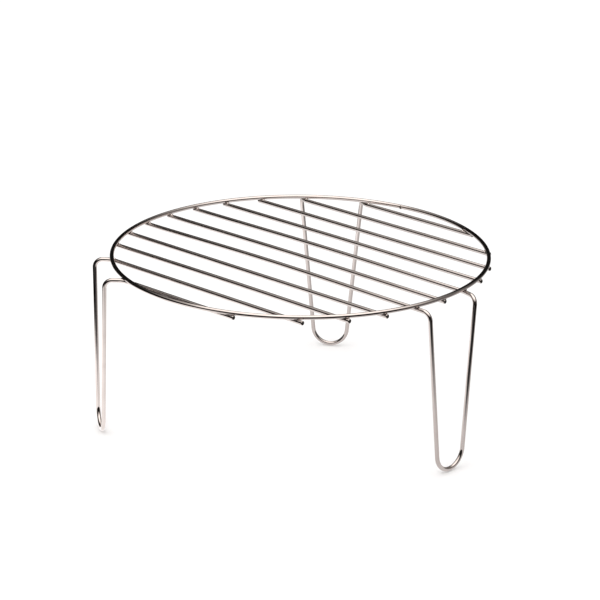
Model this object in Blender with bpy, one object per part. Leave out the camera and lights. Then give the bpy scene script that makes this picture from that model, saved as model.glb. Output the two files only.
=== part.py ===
"""Round wire cooling rack on three hairpin legs.

A closed rim ring lies on top of eleven parallel crossbars. Five crossbars are plain straight
wires. The other six are the long arms of three leg wires: each of these is one wire that runs
under the rim as a crossbar, bends down outside the rim, turns round a foot, comes back up and
runs in again as a second crossbar. Every crossing is a weld on the finished rack, so nothing
moves. The crossbars are let into the underside of the rim, as the welding press leaves them.

Metres, +Z up, the feet stand on z = 0. +X runs along the crossbars towards the front leg.
"""
import math

import bmesh
import bpy
from mathutils import Matrix, Vector

# Driving dimensions
WIRE_RADIUS = 0.0015
WIRE_SIDES = 12
WELD_SETDOWN = 0.00045        # how far a crossbar is pressed into the rim
WELD_GAP = 0.0003             # left between two solids that are welded together
RIM_RADIUS = 0.130            # centreline
RIM_SEGMENTS = 120
BAR_COUNT = 11
BAR_PITCH = 0.024
BAR_END_RADIUS = 0.1318       # the cut ends lie on this circle, flush with the rim's outer side
BAR_END_EXTRA = {8: 0.0010, 9: 0.0020, 10: 0.0030}   # +X cut ends that stand out further
BAR_LEVEL = 0.1175            # crossbar centreline above the floor

# Leg wire, in the leg's own frame: "out" is along the leg's azimuth, "side" is across it
LEG_TOP_OUT = 0.1400          # rim axis to the corner where the wire turns down
LEG_TOP_SIDE = 0.0226         # half the distance between the two wires at that corner
LEG_FOOT_OUT = 0.1409         # the feet stand slightly further out than the corners
FOOT_RADIUS = 0.0128          # centreline radius of the round foot
FOOT_STEPS = 13               # odd, so that the foot stands on a flat side
CORNER_RADIUS = 0.0055        # bend from horizontal to down
SPLAY_RADIUS = 0.0140         # bend in plan, where the wire passes under the rim
BEND_STEP = math.radians(13)  # largest turn between two points of a bend

# Each leg wire: name, azimuth from +X, and the two crossbars that it runs in as.
# Crossbar 1 is the outermost one on the +Y side, 11 the outermost one on the -Y side.
LEG_WIRES = (
    ("front_leg_wire", math.radians(-0.8), (7, 5)),
    ("left_leg_wire", math.radians(124.0), (1, 2)),
    ("right_leg_wire", math.radians(-124.0), (10, 11)),
)

CHROME_COLOUR = (0.72, 0.71, 0.69, 1.0)
CHROME_ROUGHNESS = 0.12

RIM_LEVEL = BAR_LEVEL + 2.0 * WIRE_RADIUS - WELD_SETDOWN
FACET_TILT = math.pi / WIRE_SIDES                 # turns a flat side of the wire to face up
FOOT_LEVEL = WIRE_RADIUS + FOOT_RADIUS * math.cos(math.pi / (2.0 * FOOT_STEPS))  # foot's centre
LEG_REACH = LEG_FOOT_OUT + WIRE_RADIUS
RIM_REACH = RIM_RADIUS + WIRE_RADIUS
RIM_X = (RIM_REACH - LEG_REACH) / 2.0             # puts the origin under the rack's middle


def clear_scene():
    for old in list(bpy.data.objects):
        bpy.data.objects.remove(old, do_unlink=True)


def new_collection(name):
    collection = bpy.data.collections.new(name)
    bpy.context.scene.collection.children.link(collection)
    return collection


def chrome_material(name):
    material = bpy.data.materials.new(name)
    material.use_nodes = True
    shader = material.node_tree.nodes["Principled BSDF"]
    shader.inputs["Base Color"].default_value = CHROME_COLOUR
    shader.inputs["Metallic"].default_value = 1.0
    shader.inputs["Roughness"].default_value = CHROME_ROUGHNESS
    return material


def wire_object(name, points, collection, radius=WIRE_RADIUS, closed=False, tilt=FACET_TILT):
    """A wire along the points, with filled ends unless it is a closed loop.

    Its flat sides touch the round wire of the given radius from outside.
    """
    curve = bpy.data.curves.new(name, "CURVE")
    curve.dimensions = "3D"
    curve.bevel_depth = radius / math.cos(FACET_TILT)
    curve.bevel_resolution = (WIRE_SIDES - 4) // 2
    curve.use_fill_caps = not closed
    curve.twist_mode = "MINIMUM"
    spline = curve.splines.new("POLY")
    spline.points.add(len(points) - 1)
    for spline_point, place in zip(spline.points, points):
        spline_point.co = (*place, 1.0)
        spline_point.tilt = tilt
    spline.use_cyclic_u = closed
    spline.use_smooth = True
    wire = bpy.data.objects.new(name, curve)
    wire.data.materials.append(chrome_material(name))
    wire.location = (RIM_X, 0.0, 0.0)
    collection.objects.link(wire)
    return wire


def mesh_object(wire, collection):
    """Replaces a wire's curve object by a mesh object of the same name and shape."""
    bpy.context.view_layer.update()
    evaluated = wire.evaluated_get(bpy.context.evaluated_depsgraph_get())
    mesh = bpy.data.meshes.new_from_object(evaluated)
    shape = bmesh.new()
    shape.from_mesh(mesh)
    bmesh.ops.remove_doubles(shape, verts=shape.verts, dist=0.00001)
    shape.to_mesh(mesh)
    shape.free()
    name, place = wire.name, wire.matrix_world.copy()
    bpy.data.objects.remove(wire, do_unlink=True)
    solid = bpy.data.objects.new(name, mesh)
    solid.matrix_world = place
    collection.objects.link(solid)
    return solid


def bar_offset(number):
    """Place of a crossbar across the rack: the middle one passes through the rim's axis."""
    middle = (BAR_COUNT + 1) // 2
    return (middle - number) * BAR_PITCH


def half_chord(radius, offset):
    return math.sqrt(radius * radius - offset * offset)


def arc(start, axis, centre, turn, steps):
    """Points from start round the centre, through the turn, both ends included."""
    arm = start - centre
    return [centre + Matrix.Rotation(turn * i / steps, 3, axis) @ arm for i in range(steps + 1)]


def bend(before, corner, after, radius):
    """Points of a round bend of the given centreline radius that replaces a corner."""
    way_in = (corner - before).normalized()
    way_out = (after - corner).normalized()
    turn = way_in.angle(way_out)
    start = corner - way_in * radius * math.tan(turn / 2.0)
    axis = way_in.cross(way_out).normalized()
    centre = start + axis.cross(way_in) * radius
    return arc(start, axis, centre, turn, math.ceil(turn / BEND_STEP))


def straight_bar_points(number):
    offset = bar_offset(number)
    half = half_chord(BAR_END_RADIUS, offset)
    far_end = half + BAR_END_EXTRA.get(number, 0.0)
    return [Vector((-half, offset, BAR_LEVEL)), Vector((far_end, offset, BAR_LEVEL))]


def leg_lean():
    """How far each wire of a leg leans from upright, towards the other one."""
    rise = BAR_LEVEL - FOOT_LEVEL
    to_corner = math.hypot(LEG_TOP_SIDE, rise)
    return math.atan2(LEG_TOP_SIDE, rise) - math.asin(FOOT_RADIUS / to_corner)


def foot_points(out, side):
    """The round foot, from the wire on the -side to the wire on the +side.

    The two wires lean towards each other, so the foot turns through less than a half circle.
    """
    lean = leg_lean()
    up = Vector((0.0, 0.0, 1.0))
    centre = out * LEG_FOOT_OUT + up * FOOT_LEVEL
    start = centre - (side * math.cos(lean) + up * math.sin(lean)) * FOOT_RADIUS
    return arc(start, out, centre, math.pi - 2.0 * lean, FOOT_STEPS)


def arm_points(out, side, sign, bar_number, foot_end):
    """One arm, from its crossbar's cut end in under the rim and down to the foot."""
    toward_leg = 1.0 if out.x > 0.0 else -1.0
    offset = bar_offset(bar_number)
    cut_end_x = half_chord(BAR_END_RADIUS, offset) + BAR_END_EXTRA.get(bar_number, 0.0)
    cut_end = Vector((-toward_leg * cut_end_x, offset, BAR_LEVEL))
    crossing = Vector((toward_leg * half_chord(RIM_RADIUS, offset), offset, BAR_LEVEL))
    top = out * LEG_TOP_OUT + side * sign * LEG_TOP_SIDE + Vector((0, 0, BAR_LEVEL))
    splay = bend(cut_end, crossing, top, SPLAY_RADIUS)
    corner = bend(crossing, top, foot_end, CORNER_RADIUS)
    return [cut_end] + splay + corner, top - crossing


def leg_wire_points(azimuth, bar_numbers):
    """A leg wire's centreline, and the tilt that turns a flat side down at the foot."""
    out = Vector((math.cos(azimuth), math.sin(azimuth), 0.0))
    side = Vector((-out.y, out.x, 0.0))
    foot = foot_points(out, side)
    arm_in, stub = arm_points(out, side, -1.0, bar_numbers[0], foot[0])
    arm_out, _ = arm_points(out, side, 1.0, bar_numbers[1], foot[-1])
    tilt = FACET_TILT + math.atan2(stub.dot(side), stub.dot(out)) + leg_lean()
    return arm_in + foot + arm_out[::-1], tilt


def rack_wires():
    """Every wire under the rim: name, centreline points and tilt."""
    wires = []
    leg_bars = set()
    for name, azimuth, bar_numbers in LEG_WIRES:
        wires.append((name, *leg_wire_points(azimuth, bar_numbers)))
        leg_bars.update(bar_numbers)
    for number in range(1, BAR_COUNT + 1):
        if number not in leg_bars:
            wires.append((f"crossbar_{number:02d}", straight_bar_points(number), FACET_TILT))
    return wires


def make_rim(collection, cutters):
    """The rim ring, with a saddle cut in its underside wherever a wire is let in."""
    points = []
    for index in range(RIM_SEGMENTS):
        angle = 2.0 * math.pi * index / RIM_SEGMENTS
        points.append((RIM_RADIUS * math.cos(angle), RIM_RADIUS * math.sin(angle), RIM_LEVEL))
    rim = mesh_object(wire_object("rim_ring", points, collection, closed=True), collection)
    saddles = rim.modifiers.new("saddles", "BOOLEAN")
    saddles.operation = "DIFFERENCE"
    saddles.solver = "EXACT"
    saddles.operand_type = "COLLECTION"
    saddles.collection = cutters


def make_cutter(name, points, tilt, cutters):
    """A wire with the weld gap all round it, which clears its place in the rim."""
    radius = WIRE_RADIUS + WELD_GAP
    cutter = wire_object("clear_" + name, points, cutters, radius=radius, tilt=tilt)
    cutter = mesh_object(cutter, cutters)
    cutter.hide_render = True
    cutter.display_type = "WIRE"


def main():
    clear_scene()
    rack = new_collection("cooling_rack")
    cutters = new_collection("cutters")
    for name, points, tilt in rack_wires():
        wire_object(name, points, rack, tilt=tilt)
        make_cutter(name, points, tilt, cutters)
    make_rim(rack, cutters)


main()
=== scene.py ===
"""Looks of the round wire cooling rack: bright plated wire, press welds and sheared bar ends.

Every wire of the CAD frame is replaced by a fine round one on the same centreline, apart from a
slight bow of some crossbars. The routes repeat the driving dimensions of the CAD wires. Metres,
+Z up, in the frame's own axes.
"""
import math

import bmesh
import bpy
from mathutils import Matrix, Vector, noise


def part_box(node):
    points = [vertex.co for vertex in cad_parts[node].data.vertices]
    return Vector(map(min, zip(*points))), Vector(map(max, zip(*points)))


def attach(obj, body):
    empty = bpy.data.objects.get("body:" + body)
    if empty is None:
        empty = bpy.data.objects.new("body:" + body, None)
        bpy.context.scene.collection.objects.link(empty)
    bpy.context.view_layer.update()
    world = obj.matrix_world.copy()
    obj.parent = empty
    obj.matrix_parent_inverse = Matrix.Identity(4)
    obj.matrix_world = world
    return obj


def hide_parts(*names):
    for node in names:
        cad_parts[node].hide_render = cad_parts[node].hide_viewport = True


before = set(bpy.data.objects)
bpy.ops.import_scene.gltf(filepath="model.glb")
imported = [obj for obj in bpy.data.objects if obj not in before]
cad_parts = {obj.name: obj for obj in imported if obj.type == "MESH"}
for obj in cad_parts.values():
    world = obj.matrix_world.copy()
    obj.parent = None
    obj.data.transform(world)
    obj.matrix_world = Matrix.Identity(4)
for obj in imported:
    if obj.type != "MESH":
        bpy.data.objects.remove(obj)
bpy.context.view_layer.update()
UP = Vector((0.0, 0.0, 1.0))

# ---------------------------------------------------------------- sizes read from the frame
RIM_LOW, RIM_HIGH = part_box("rim_ring")
BAR_LOW, BAR_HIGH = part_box("crossbar_06")
NEXT_BAR_LOW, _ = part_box("crossbar_04")
WIRE_RADIUS = (BAR_HIGH.z - BAR_LOW.z) / 2.0
RIM_CENTRE = Vector(((RIM_LOW.x + RIM_HIGH.x) / 2.0, 0.0, RIM_HIGH.z - WIRE_RADIUS))
RIM_RADIUS = (RIM_HIGH.y - RIM_LOW.y) / 2.0 - WIRE_RADIUS
BAR_LEVEL = (BAR_HIGH.z + BAR_LOW.z) / 2.0
BAR_PITCH = (NEXT_BAR_LOW.y - BAR_LOW.y) / 2.0
BAR_END_RADIUS = (BAR_HIGH.x - BAR_LOW.x) / 2.0
BAR_END_EXTRA = {8: 0.0010, 9: 0.0020, 10: 0.0030}   # +X cut ends that stand out further
BAR_COUNT = 11

# Leg wire, in the leg's own frame: "out" is along the leg's azimuth, "side" is across it
LEG_TOP_OUT = 0.1400
LEG_TOP_SIDE = 0.0226
LEG_FOOT_OUT = 0.1409
FOOT_RADIUS = 0.0128
FOOT_LEVEL = WIRE_RADIUS + FOOT_RADIUS
CORNER_RADIUS = 0.0055
SPLAY_RADIUS = 0.0140
LEG_WIRES = (
    ("front_leg_wire", math.radians(-0.8), (7, 5)),
    ("left_leg_wire", math.radians(124.0), (1, 2)),
    ("right_leg_wire", math.radians(-124.0), (10, 11)),
)

# How far the middle of a crossbar stands above its ends, for those that are not quite straight
BAR_BOW = {4: 0.0002, 5: 0.0008, 6: 0.0005, 7: 0.0012, 9: 0.0003}

# Fine shape
WIRE_SIDES = 28
RING_STEP = 0.0035            # spacing of the rings along a straight wire
BEND_STEP = math.radians(5)
CUT_CHAMFER = 0.00022         # rolled-over edge of a sheared end
CUT_DISH = 0.00012            # how far its face is dished
CUT_EDGE_STEPS = ((0.35, 0.12), (0.75, 0.45), (1.0, 1.0))   # inward and outward, in chamfers
CUT_DISH_RADIUS = 0.45        # where the dish is nearly at its deepest, in wire radii
RIM_STEPS = 360

# Weld metal: half-sizes are along the rim, across it and upward
BEAD_SIZES = (0.0022, 0.0015, 0.0009)
DROP_SIZES = (0.0010, 0.0009, 0.0007)
DROP_INSET = 0.0019           # from the rim's centreline inward
DROP_LEVEL = 0.85             # above the bar's centreline, in wire radii
BUTT_WELD_ANGLE = math.radians(99.0)
BUTT_WELD_SIZES = (0.0012, 0.0014, 0.00145)
BUTT_WELD_LUMPS = ((-0.0002, -0.0004), (-0.0001, 0.0005))   # upward and outward of the rim
LUMP_SCALE = 1.7
LUMP_HEIGHT = 0.16

# Colours of the metals, lighter and darker patches
PLATING_COLOURS = ((0.62, 0.555, 0.53), (0.56, 0.495, 0.47))
# Weld colours: dark weld scale, darkened further as painted shade of the crevice between rim and
# bar
WELD_SCALE_AND_SHADE_COLOURS = ((0.20, 0.17, 0.155), (0.07, 0.06, 0.052))
DROP_COLOURS = ((0.66, 0.60, 0.575), (0.50, 0.45, 0.43))
# Cut-end colours: near black as painted shade, mottled by the steel's grain
CUT_GRAIN_AND_SHADE_COLOURS = ((0.09, 0.08, 0.075), (0.02, 0.018, 0.016))

# Stage and light
FLOOR_COLOUR = (0.9, 0.89, 0.885)
FLOOR_REACH = 6.0
PAPER_REACH = 1.5
PAPER_LEVEL = 0.0002
PAPER_TINT = (1.0, 1.0, 1.0)
POOL_OF_LIGHT = (-0.25, -0.37, 0.0)
ROOM_RADIUS = 1.1
ROOM_TINT = (1.0, 0.975, 0.94)
SKY_STRENGTH = 1.15
SOFTBOX_PLACE = Vector((-0.15, -0.75, 1.15))
SOFTBOX_TARGET = Vector((0.0, 0.0, 0.1))
SOFTBOX_SIZE = (1.1, 0.9)
SOFTBOX_POWER = 3.0

# Camera
CAMERA_AZIMUTH = math.radians(43.35)
CAMERA_ELEVATION = math.radians(18.65)
CAMERA_PITCH = math.radians(19.67)
CAMERA_ROLL = math.radians(0.45)
CAMERA_DISTANCE = 14.01 * RIM_RADIUS
CAMERA_LENS = 158.13
CAMERA_SENSOR = 36.0


# ---------------------------------------------------------------- wire routes
def bar_offset(number):
    middle = (BAR_COUNT + 1) // 2
    return (middle - number) * BAR_PITCH


def half_chord(radius, offset):
    return math.sqrt(radius * radius - offset * offset)


def arc(start, axis, centre, turn):
    steps = max(2, math.ceil(turn / BEND_STEP))
    arm = start - centre
    return [centre + Matrix.Rotation(turn * i / steps, 3, axis) @ arm for i in range(steps + 1)]


def bend(before, corner, after, radius):
    """Points of a round bend of the given centreline radius that replaces a corner."""
    way_in = (corner - before).normalized()
    way_out = (after - corner).normalized()
    turn = way_in.angle(way_out)
    start = corner - way_in * radius * math.tan(turn / 2.0)
    axis = way_in.cross(way_out).normalized()
    return arc(start, axis, start + axis.cross(way_in) * radius, turn)


def bar_points(number, start_x, end_x):
    """A crossbar between two ends, with its slight upward bow between the rim crossings."""
    offset = bar_offset(number)
    half = half_chord(RIM_RADIUS, offset)
    steps = max(2, math.ceil(abs(end_x - start_x) / RING_STEP))
    points = []
    for i in range(steps + 1):
        x = start_x + (end_x - start_x) * i / steps
        rise = BAR_BOW.get(number, 0.0) * max(0.0, 1.0 - (x / half) ** 2) ** 2
        points.append(Vector((x, offset, BAR_LEVEL + rise)))
    return points


def straight_bar_points(number):
    half = half_chord(BAR_END_RADIUS, bar_offset(number))
    return bar_points(number, -half, half + BAR_END_EXTRA.get(number, 0.0))


def foot_points(out, side):
    rise = BAR_LEVEL - FOOT_LEVEL
    to_corner = math.hypot(LEG_TOP_SIDE, rise)
    lean = math.atan2(LEG_TOP_SIDE, rise) - math.asin(FOOT_RADIUS / to_corner)
    centre = out * LEG_FOOT_OUT + UP * FOOT_LEVEL
    start = centre - (side * math.cos(lean) + UP * math.sin(lean)) * FOOT_RADIUS
    return arc(start, out, centre, math.pi - 2.0 * lean)


def arm_points(out, side, sign, bar_number, foot_end):
    """One arm, from its crossbar's cut end in under the rim and down to the foot."""
    toward_leg = 1.0 if out.x > 0.0 else -1.0
    offset = bar_offset(bar_number)
    cut_end_x = half_chord(BAR_END_RADIUS, offset) + BAR_END_EXTRA.get(bar_number, 0.0)
    cut_end = Vector((-toward_leg * cut_end_x, offset, BAR_LEVEL))
    crossing = Vector((toward_leg * half_chord(RIM_RADIUS, offset), offset, BAR_LEVEL))
    top = out * LEG_TOP_OUT + side * sign * LEG_TOP_SIDE + UP * BAR_LEVEL
    splay = bend(cut_end, crossing, top, SPLAY_RADIUS)
    bar = bar_points(bar_number, cut_end.x, splay[0].x)[:-1]
    return bar + splay + bend(crossing, top, foot_end, CORNER_RADIUS)


def leg_wire_points(azimuth, bar_numbers):
    out = Vector((math.cos(azimuth), math.sin(azimuth), 0.0))
    side = Vector((-out.y, out.x, 0.0))
    foot = foot_points(out, side)
    arm_in = arm_points(out, side, -1.0, bar_numbers[0], foot[0])
    arm_out = arm_points(out, side, 1.0, bar_numbers[1], foot[-1])
    return arm_in + foot + arm_out[::-1]


# ---------------------------------------------------------------- wire meshes
def resampled(points):
    """The same route with rings no further apart than RING_STEP, and one close to each end.

    The rings at the ends keep the rounded edge's shading off the straight wire beside it.
    """
    route = [points[0]]
    for start, end in zip(points, points[1:]):
        pieces = max(1, math.ceil((end - start).length / RING_STEP))
        route += [start.lerp(end, i / pieces) for i in range(1, pieces + 1)]
    start_way = (route[1] - route[0]).normalized()
    end_way = (route[-2] - route[-1]).normalized()
    route.insert(1, route[0] + start_way * CUT_CHAMFER * 2.0)
    route.insert(-1, route[-1] + end_way * CUT_CHAMFER * 2.0)
    return route


def tangents(route, closed):
    count = len(route)
    found = []
    for i in range(count):
        before = route[i - 1] if closed or i > 0 else route[i]
        after = route[(i + 1) % count] if closed or i < count - 1 else route[i]
        found.append((after - before).normalized())
    return found


def ring_frames(route, closed):
    """Two directions across the wire at each point, carried along without twist."""
    along = tangents(route, closed)
    first = along[0].orthogonal().normalized() if abs(along[0].z) > 0.9 else UP.copy()
    across = [(first - along[0] * first.dot(along[0])).normalized()]
    for before, here in zip(along, along[1:]):
        turned = before.rotation_difference(here) @ across[-1]
        across.append((turned - here * turned.dot(here)).normalized())
    return [(a, t.cross(a).normalized()) for a, t in zip(across, along)], along


def add_ring(shape, centre, pair, radius):
    corners = []
    for k in range(WIRE_SIDES):
        angle = 2.0 * math.pi * k / WIRE_SIDES
        direction = pair[0] * math.cos(angle) + pair[1] * math.sin(angle)
        corners.append(shape.verts.new(centre + direction * radius))
    return corners


def bridge(shape, uv, ring_a, ring_b, along_a, along_b):
    faces = []
    for k in range(WIRE_SIDES):
        n = (k + 1) % WIRE_SIDES
        face = shape.faces.new((ring_a[k], ring_a[n], ring_b[n], ring_b[k]))
        face.smooth = True
        around = (k / WIRE_SIDES, (k + 1) / WIRE_SIDES, (k + 1) / WIRE_SIDES, k / WIRE_SIDES)
        places = (along_a, along_a, along_b, along_b)
        for loop, v, u in zip(face.loops, around, places):
            loop[uv].uv = (u, v)
        faces.append(face)
    return faces


def add_cut_end(shape, uv, ring, centre, pair, outward, along):
    """A sheared end: a rolled-over edge, then a slightly dished face."""
    last = ring
    for inward, out in CUT_EDGE_STEPS:
        radius = WIRE_RADIUS - CUT_CHAMFER * inward
        place = centre + outward * CUT_CHAMFER * (out - 1.0)
        corners = add_ring(shape, place, pair, radius)
        bridge(shape, uv, last, corners, along, along + CUT_CHAMFER)
        last = corners
    inner = add_ring(shape, centre - outward * CUT_DISH, pair, WIRE_RADIUS * CUT_DISH_RADIUS)
    dished = bridge(shape, uv, last, inner, along, along + CUT_CHAMFER)
    middle = shape.verts.new(centre - outward * CUT_DISH * 1.2)
    for k in range(WIRE_SIDES):
        dished.append(shape.faces.new((inner[k], inner[(k + 1) % WIRE_SIDES], middle)))
    for face in dished:
        face.smooth = True
        face.material_index = 1


def wire_piece(name, points, node, closed=False):
    """A round plated wire along the route. Its UV map holds metres along and turns around."""
    route = [p + Vector((RIM_CENTRE.x, 0.0, 0.0)) for p in points]
    if not closed:
        route = resampled(route)
    pairs, along = ring_frames(route, closed)
    shape = bmesh.new()
    uv = shape.loops.layers.uv.new("wire")
    rings = []
    travelled = [0.0]
    for a, b in zip(route, route[1:]):
        travelled.append(travelled[-1] + (b - a).length)
    last = len(route) - 1
    for i, (place, pair) in enumerate(zip(route, pairs)):
        centre = place.copy()
        if not closed and i == 0:
            centre += along[0] * CUT_CHAMFER
        if not closed and i == last:
            centre -= along[-1] * CUT_CHAMFER
        rings.append(add_ring(shape, centre, pair, WIRE_RADIUS))
    for i in range(last):
        bridge(shape, uv, rings[i], rings[i + 1], travelled[i], travelled[i + 1])
    if closed:
        step = travelled[1]
        bridge(shape, uv, rings[-1], rings[0], travelled[-1], travelled[-1] + step)
    else:
        add_cut_end(shape, uv, rings[0], route[0], pairs[0], -along[0], 0.0)
        add_cut_end(shape, uv, rings[-1], route[-1], pairs[-1], along[-1], travelled[-1])
    bmesh.ops.recalc_face_normals(shape, faces=shape.faces)
    mesh = bpy.data.meshes.new(name)
    shape.to_mesh(mesh)
    shape.free()
    piece = bpy.data.objects.new(name, mesh)
    bpy.context.scene.collection.objects.link(piece)
    piece.data.materials.append(chrome_material())
    if not closed:
        piece.data.materials.append(cut_material())
    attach(piece, "root")
    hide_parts(node)


def rim_points():
    points = []
    for index in range(RIM_STEPS):
        angle = 2.0 * math.pi * index / RIM_STEPS
        points.append(Vector((RIM_RADIUS * math.cos(angle), RIM_RADIUS * math.sin(angle),
                              RIM_CENTRE.z)))
    return points


# ---------------------------------------------------------------- weld beads
def bead_piece(name, centre, sizes, turn, seed, material):
    """A lump of pressed-out metal: an egg shape with an uneven surface."""
    shape = bmesh.new()
    bmesh.ops.create_icosphere(shape, subdivisions=3, radius=1.0)
    for vert in shape.verts:
        lump = noise.noise(vert.co * LUMP_SCALE + Vector((seed * 3.1, seed * 1.3, 0.0)))
        vert.co = vert.co * (1.0 + LUMP_HEIGHT * lump)
        vert.co = Vector((vert.co.x * sizes[0], vert.co.y * sizes[1], vert.co.z * sizes[2]))
    for face in shape.faces:
        face.smooth = True
    mesh = bpy.data.meshes.new(name)
    shape.to_mesh(mesh)
    shape.free()
    bead = bpy.data.objects.new(name, mesh)
    bead.location = centre
    bead.rotation_euler = (0.0, 0.0, turn)
    bpy.context.scene.collection.objects.link(bead)
    bead.data.materials.append(material)
    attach(bead, "root")


def make_welds():
    """A dull bead in each crossing, coloured dark partly for weld scale and partly as painted
    shade of the crevice between rim and bar, and a bright drop on the bar just inside the rim.
    """
    level = (BAR_LEVEL + RIM_CENTRE.z) / 2.0
    for number in range(1, BAR_COUNT + 1):
        offset = bar_offset(number)
        half = half_chord(RIM_RADIUS, offset)
        for side, sign in (("right", 1.0), ("left", -1.0)):
            centre = Vector((RIM_CENTRE.x + sign * half, offset, level))
            rim_turn = math.atan2(sign * half, -offset)
            seed = number + sign * 0.5
            bead_piece(f"weld_{number:02d}_{side}", centre, BEAD_SIZES, rim_turn, seed,
                       weld_material("weld_metal_and_shade", WELD_SCALE_AND_SHADE_COLOURS, 0.15, 0.3))
            drop = Vector((centre.x - sign * DROP_INSET * RIM_RADIUS / half, offset,
                           BAR_LEVEL + WIRE_RADIUS * DROP_LEVEL))
            bead_piece(f"drop_{number:02d}_{side}", drop, DROP_SIZES, rim_turn, seed + 0.3,
                       weld_material("weld_drop", DROP_COLOURS, 0.06, 0.14))


def make_butt_weld():
    """The rim wire's own joint: an uneven swelling just proud of the wire."""
    way_out = Vector((math.cos(BUTT_WELD_ANGLE), math.sin(BUTT_WELD_ANGLE), 0.0))
    turn = BUTT_WELD_ANGLE + math.pi / 2.0
    for index, (lift, shift) in enumerate(BUTT_WELD_LUMPS):
        centre = RIM_CENTRE + way_out * (RIM_RADIUS + shift) + UP * lift
        # Same dark colours as the crossing beads: weld scale with painted shade
        bead_piece(f"rim_joint_{index}", centre, BUTT_WELD_SIZES, turn, 20.0 + index,
                   weld_material("weld_metal_and_shade", WELD_SCALE_AND_SHADE_COLOURS, 0.15, 0.3))


# ---------------------------------------------------------------- materials
def new_material(name):
    material = bpy.data.materials.new(name)
    material.use_nodes = True
    return material, material.node_tree.nodes, material.node_tree.links


def new_metal(name):
    """A metal material, with its shader and the place on the piece as a pattern's input."""
    material, nodes, links = new_material(name)
    shader = nodes["Principled BSDF"]
    shader.inputs["Metallic"].default_value = 1.0
    place = nodes.new("ShaderNodeTexCoord").outputs["Object"]
    return material, nodes, links, shader, place


def noise_node(nodes, links, source, scale, detail):
    texture = nodes.new("ShaderNodeTexNoise")
    texture.inputs["Scale"].default_value = scale
    texture.inputs["Detail"].default_value = detail
    links.new(source, texture.inputs["Vector"])
    return texture.outputs["Fac"]


def combined(nodes, links, operation, first, second, third=None):
    """One maths node; each input is a socket or a plain number."""
    node = nodes.new("ShaderNodeMath")
    node.operation = operation
    for socket, value in zip(node.inputs, (first, second, third)):
        if isinstance(value, (int, float)):
            socket.default_value = value
        elif value is not None:
            links.new(value, socket)
    return node.outputs["Value"]


def product(nodes, links, first, *others):
    """All the inputs multiplied together."""
    for other in others:
        first = combined(nodes, links, "MULTIPLY", first, other)
    return first


def ranged(nodes, links, source, low, high, out_low, out_high, curve="LINEAR"):
    """The source's run from low to high as a run from out_low to out_high, level past both."""
    spread = nodes.new("ShaderNodeMapRange")
    spread.interpolation_type = curve
    spread.inputs["From Min"].default_value = low
    spread.inputs["From Max"].default_value = high
    spread.inputs["To Min"].default_value = out_low
    spread.inputs["To Max"].default_value = out_high
    links.new(source, spread.inputs["Value"])
    return spread.outputs["Result"]


def mixed_colour(nodes, links, factor, colour_a, colour_b):
    mix = nodes.new("ShaderNodeMix")
    mix.data_type = "RGBA"
    mix.inputs["A"].default_value = (*colour_a, 1.0)
    mix.inputs["B"].default_value = (*colour_b, 1.0)
    links.new(factor, mix.inputs["Factor"])
    return mix.outputs["Result"]


def bumped(nodes, links, source, strength, distance, normal=None):
    bump = nodes.new("ShaderNodeBump")
    bump.inputs["Strength"].default_value = strength
    bump.inputs["Distance"].default_value = distance
    links.new(source, bump.inputs["Height"])
    if normal:
        links.new(normal, bump.inputs["Normal"])
    return bump.outputs["Normal"]


def chrome_material():
    """Bright plating on drawn wire: faint draw lines, a slow ripple and thin grease films."""
    made = bpy.data.materials.get("bright_plating")
    if made:
        return made
    material, nodes, links, shader, place = new_metal("bright_plating")
    uv = nodes.new("ShaderNodeUVMap")
    uv.uv_map = "wire"
    stretch = nodes.new("ShaderNodeMapping")
    stretch.inputs["Scale"].default_value = (60.0, 26.0, 1.0)
    links.new(uv.outputs["UV"], stretch.inputs["Vector"])
    film = noise_node(nodes, links, place, scale=70.0, detail=3.0)
    colour = mixed_colour(nodes, links, ranged(nodes, links, film, 0.35, 0.7, 0.0, 1.0),
                          *PLATING_COLOURS)
    links.new(colour, shader.inputs["Base Color"])
    roughness = ranged(nodes, links, film, 0.3, 0.75, 0.03, 0.07)
    links.new(roughness, shader.inputs["Roughness"])
    ripple = noise_node(nodes, links, place, scale=260.0, detail=1.0)
    lines = noise_node(nodes, links, stretch.outputs["Vector"], scale=1.0, detail=2.0)
    surface = bumped(nodes, links, ripple, strength=0.18, distance=0.00006)
    surface = bumped(nodes, links, lines, strength=0.2, distance=0.00002, normal=surface)
    links.new(surface, shader.inputs["Normal"])
    return material


def weld_material(name, colours, smooth, rough):
    """Plated weld metal: pitted, and mottled between two colours."""
    made = bpy.data.materials.get(name)
    if made:
        return made
    material, nodes, links, shader, place = new_metal(name)
    patches = noise_node(nodes, links, place, scale=900.0, detail=3.0)
    links.new(mixed_colour(nodes, links, patches, *colours), shader.inputs["Base Color"])
    links.new(ranged(nodes, links, patches, 0.3, 0.7, smooth, rough), shader.inputs["Roughness"])
    pits = noise_node(nodes, links, place, scale=2600.0, detail=2.0)
    surface = bumped(nodes, links, pits, strength=0.3, distance=0.0001)
    links.new(surface, shader.inputs["Normal"])
    return material


def cut_material():
    """Thinly plated sheared steel: dull and torn across, with painted shade: the face is
    coloured near black, far darker than bare steel.
    """
    made = bpy.data.materials.get("cut_steel_and_shade")
    if made:
        return made
    material, nodes, links, shader, place = new_metal("cut_steel_and_shade")
    grain = noise_node(nodes, links, place, scale=1800.0, detail=3.0)
    # Painted shade: near-black colour on the cut face, mottled by the grain
    links.new(mixed_colour(nodes, links, grain, *CUT_GRAIN_AND_SHADE_COLOURS), shader.inputs["Base Color"])
    links.new(ranged(nodes, links, grain, 0.3, 0.7, 0.4, 0.6), shader.inputs["Roughness"])
    surface = bumped(nodes, links, grain, strength=0.6, distance=0.0001)
    links.new(surface, shader.inputs["Normal"])
    return material


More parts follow.
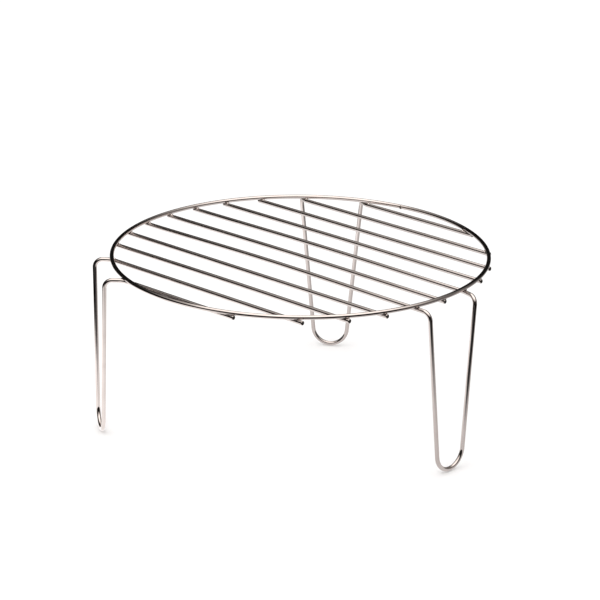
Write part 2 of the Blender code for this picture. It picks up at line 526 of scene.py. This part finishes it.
# ---------------------------------------------------------------- stage, light and camera
def stage_plane(name, reach, level, material):
    """A level square that reaches as far as given from the middle of the set."""
    corners = [(-reach, -reach, level), (reach, -reach, level),
               (reach, reach, level), (-reach, reach, level)]
    mesh = bpy.data.meshes.new(name)
    mesh.from_pydata(corners, [], [(0, 1, 2, 3)])
    plane = bpy.data.objects.new(name, mesh)
    bpy.context.scene.collection.objects.link(plane)
    plane.data.materials.append(material)
    return plane


def only_in_reflections(obj):
    obj.visible_camera = False
    obj.visible_diffuse = False
    obj.visible_shadow = False
    obj.visible_transmission = False


def glow_output(material, nodes, links, brightness, tint):
    """Make a stage card shine by its own pattern of light."""
    nodes.remove(nodes["Principled BSDF"])
    glow = nodes.new("ShaderNodeEmission")
    glow.inputs["Color"].default_value = (*tint, 1.0)
    links.new(brightness, glow.inputs["Strength"])
    links.new(glow.outputs["Emission"], nodes["Material Output"].inputs["Surface"])


def paper_material():
    """How the wire sees the floor: lit paper with a pool of light, dark past its edges.

    A dim grey card lies past the paper's edge, on the +X side and towards the camera.
    """
    material, nodes, links = new_material("paper_light")
    place = nodes.new("ShaderNodeTexCoord").outputs["Object"]
    split = nodes.new("ShaderNodeSeparateXYZ")
    links.new(place, split.inputs["Vector"])
    x, y = split.outputs["X"], split.outputs["Y"]
    distance = nodes.new("ShaderNodeVectorMath")
    distance.operation = "DISTANCE"
    distance.inputs[1].default_value = POOL_OF_LIGHT
    links.new(place, distance.inputs[0])
    pool = ranged(nodes, links, distance.outputs["Value"], 0.12, 0.62, 1.6, 0.8, "SMOOTHSTEP")
    slant = combined(nodes, links, "MULTIPLY_ADD", y, -0.8, x)
    side_edge = ranged(nodes, links, slant, 0.25, 0.40, 1.0, 0.0)
    front_edge = ranged(nodes, links, y, -0.30, -0.19, 0.0, 1.0)
    near_sheet = combined(nodes, links, "MINIMUM", side_edge, front_edge)
    front_strip = ranged(nodes, links, x, -0.06, 0.08, 1.0, 0.0)
    right = combined(nodes, links, "MAXIMUM", near_sheet, front_strip)
    far_right = ranged(nodes, links, x, 0.28, 0.48, 1.0, 0.0)
    across = combined(nodes, links, "ADD", x, y)
    back = ranged(nodes, links, across, 0.20, 0.70, 1.0, 0.35)
    front_left = ranged(nodes, links, across, -0.60, -0.42, 0.0, 1.0)
    left = ranged(nodes, links, x, -0.70, -0.35, 0.4, 1.0)
    away = combined(nodes, links, "SUBTRACT", y, x)
    back_left = ranged(nodes, links, away, 0.60, 0.95, 1.0, 0.1)
    brightness = product(nodes, links, pool, right, far_right, back, front_left, left, back_left)
    card_side = ranged(nodes, links, x, 0.22, 0.26, 0.0, 0.12)
    card_end = ranged(nodes, links, across, 0.10, 0.13, 1.0, 0.0)
    card = product(nodes, links, card_side, card_end)
    brightness = combined(nodes, links, "MAXIMUM", brightness, card)
    glow_output(material, nodes, links, brightness, PAPER_TINT)
    return material


def room_material():
    """How the wire sees the room: almost dark round the horizon and bright overhead.

    The ceiling fades to the back and to the left, where a lamp and a lit wall take over. A faint
    wall stands at the back on the right.
    """
    material, nodes, links = new_material("room_light")
    direction = nodes.new("ShaderNodeVectorMath")
    direction.operation = "NORMALIZE"
    links.new(nodes.new("ShaderNodeTexCoord").outputs["Object"], direction.inputs[0])
    split = nodes.new("ShaderNodeSeparateXYZ")
    links.new(direction.outputs["Vector"], split.inputs["Vector"])
    x, y, z = split.outputs["X"], split.outputs["Y"], split.outputs["Z"]
    ceiling = ranged(nodes, links, z, 0.38, 0.85, 0.0, 2.1)
    ceiling_back = ranged(nodes, links, y, 0.35, 0.80, 1.0, 0.0)
    ceiling_left = ranged(nodes, links, x, -0.52, -0.34, 0.03, 1.0)
    tilted = combined(nodes, links, "MULTIPLY_ADD", y, 0.25, z)
    lamp = ranged(nodes, links, tilted, 0.66, 0.82, 0.0, 2.0, "SMOOTHSTEP")
    lamp_end = ranged(nodes, links, x, -0.60, -0.52, 0.1, 1.0)
    lamp_back = ranged(nodes, links, y, 0.40, 0.70, 1.0, 0.0)
    lamp_right = ranged(nodes, links, x, -0.30, 0.10, 1.0, 0.0)
    left_wall = ranged(nodes, links, x, -0.78, -0.55, 0.08, 0.75)
    left_wall_foot = ranged(nodes, links, z, 0.50, 0.68, 0.0, 1.0)
    left_wall_end = ranged(nodes, links, x, -0.45, -0.30, 1.0, 0.0)
    wall = ranged(nodes, links, x, 0.10, 0.45, 0.0, 0.22)
    wall_back = ranged(nodes, links, y, 0.10, 0.40, 0.0, 1.0)
    ceiling = product(nodes, links, ceiling, ceiling_back, ceiling_left)
    lamp = product(nodes, links, lamp, lamp_end, lamp_back, lamp_right)
    wall = product(nodes, links, wall, wall_back)
    left_wall = product(nodes, links, left_wall, left_wall_foot, left_wall_end)
    brightness = combined(nodes, links, "MAXIMUM", ceiling, lamp)
    brightness = combined(nodes, links, "MAXIMUM", brightness, wall)
    brightness = combined(nodes, links, "MAXIMUM", brightness, left_wall)
    brightness = combined(nodes, links, "MAXIMUM", brightness, 0.012)
    glow_output(material, nodes, links, brightness, ROOM_TINT)
    return material


def make_stage():
    """A matt white floor, and just above it the card that the plating mirrors."""
    floor, nodes, _ = new_material("floor")
    shader = nodes["Principled BSDF"]
    shader.inputs["Base Color"].default_value = (*FLOOR_COLOUR, 1.0)
    shader.inputs["Roughness"].default_value = 0.9
    shader.inputs["Specular IOR Level"].default_value = 0.0
    stage_plane("floor", FLOOR_REACH, 0.0, floor)
    paper = stage_plane("paper_light", PAPER_REACH, PAPER_LEVEL, paper_material())
    only_in_reflections(paper)


def make_dome():
    """The room around the set, which shows only in reflections."""
    mesh = bpy.data.meshes.new("room_light")
    shape = bmesh.new()
    bmesh.ops.create_uvsphere(shape, u_segments=64, v_segments=32, radius=ROOM_RADIUS)
    shape.to_mesh(mesh)
    shape.free()
    dome = bpy.data.objects.new("room_light", mesh)
    dome.location = RIM_CENTRE
    bpy.context.scene.collection.objects.link(dome)
    dome.data.materials.append(room_material())
    only_in_reflections(dome)


def make_light():
    """An even white sky, and one softbox high on the -Y side of the set."""
    world = bpy.data.worlds.new("studio")
    world.use_nodes = True
    sky = world.node_tree.nodes["Background"]
    sky.inputs["Color"].default_value = (1.0, 1.0, 1.0, 1.0)
    sky.inputs["Strength"].default_value = SKY_STRENGTH
    bpy.context.scene.world = world
    light = bpy.data.lights.new("softbox", "AREA")
    light.shape = "RECTANGLE"
    light.size, light.size_y = SOFTBOX_SIZE
    light.energy = SOFTBOX_POWER
    softbox = bpy.data.objects.new("softbox", light)
    softbox.location = SOFTBOX_PLACE
    aim = (SOFTBOX_TARGET - SOFTBOX_PLACE).to_track_quat("-Z", "Y")
    softbox.rotation_euler = aim.to_euler()
    bpy.context.scene.collection.objects.link(softbox)


def make_camera():
    """The photograph's view: a long lens, a little above the rim and off its front leg."""
    level_reach = math.cos(CAMERA_ELEVATION)
    away = Vector((math.sin(CAMERA_AZIMUTH) * level_reach,
                   -math.cos(CAMERA_AZIMUTH) * level_reach, math.sin(CAMERA_ELEVATION)))
    camera_data = bpy.data.cameras.new("camera")
    camera_data.lens = CAMERA_LENS
    camera_data.sensor_width = CAMERA_SENSOR
    camera = bpy.data.objects.new("camera", camera_data)
    camera.location = RIM_CENTRE + away * CAMERA_DISTANCE
    turn = Matrix.Rotation(CAMERA_AZIMUTH, 4, "Z")
    tilt = Matrix.Rotation(math.pi / 2.0 - CAMERA_PITCH, 4, "X")
    roll = Matrix.Rotation(CAMERA_ROLL, 4, "Z")
    camera.rotation_euler = (turn @ tilt @ roll).to_euler()
    bpy.context.scene.collection.objects.link(camera)
    bpy.context.scene.camera = camera
    bpy.context.scene.view_settings.view_transform = "Standard"


def make_wires():
    wire_piece("rim", rim_points(), "rim_ring", closed=True)
    leg_bars = set()
    for node, azimuth, bar_numbers in LEG_WIRES:
        wire_piece(node.replace("_wire", ""), leg_wire_points(azimuth, bar_numbers), node)
        leg_bars.update(bar_numbers)
    for number in range(1, BAR_COUNT + 1):
        if number not in leg_bars:
            node = f"crossbar_{number:02d}"
            wire_piece(f"bar_{number:02d}", straight_bar_points(number), node)


make_camera()
make_light()
make_stage()
make_dome()
make_wires()
make_welds()
make_butt_weld()
